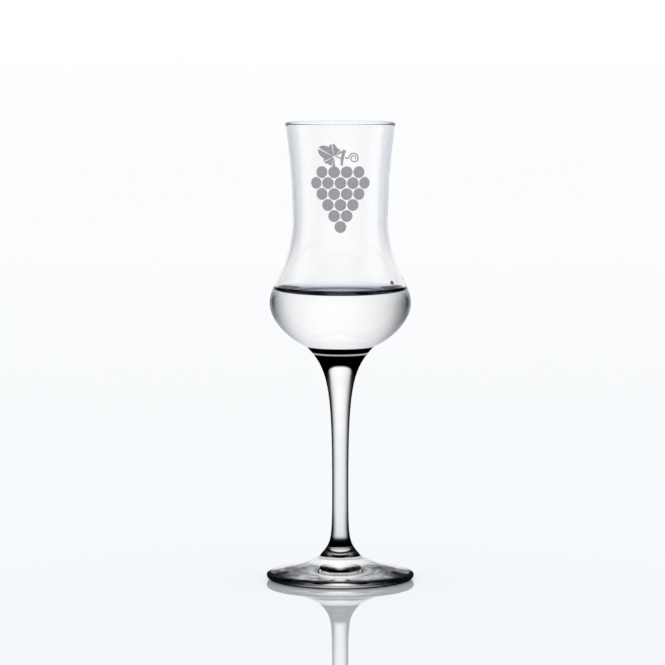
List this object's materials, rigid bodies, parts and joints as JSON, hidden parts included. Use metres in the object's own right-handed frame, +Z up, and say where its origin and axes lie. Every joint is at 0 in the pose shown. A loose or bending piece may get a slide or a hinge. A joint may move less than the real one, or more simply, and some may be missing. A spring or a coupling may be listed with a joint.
{
  "type": "grappa glass",
  "caption": "Stemmed tulip glass with a round bulb, a drawn-in waist and a flared lip on a slim stem and a flat foot, holding a measure of clear spirit.",
  "frame": {"origin": "centre of the resting ring under the foot, on the table", "axes": "+Z up along the axis of the stem and the bowl"},
  "size_m": [0.058, 0.058, 0.18],
  "materials": {
    "clear_glass": "fire-polished clear soda-lime glass",
    "clear_spirit": "clear colourless liquid with a still surface"
  },
  "bodies": {
    "root": {"bowl": "clear_glass", "stem": "clear_glass", "foot": "clear_glass", "spirit": "clear_spirit"}
  },
  "joints": []
}
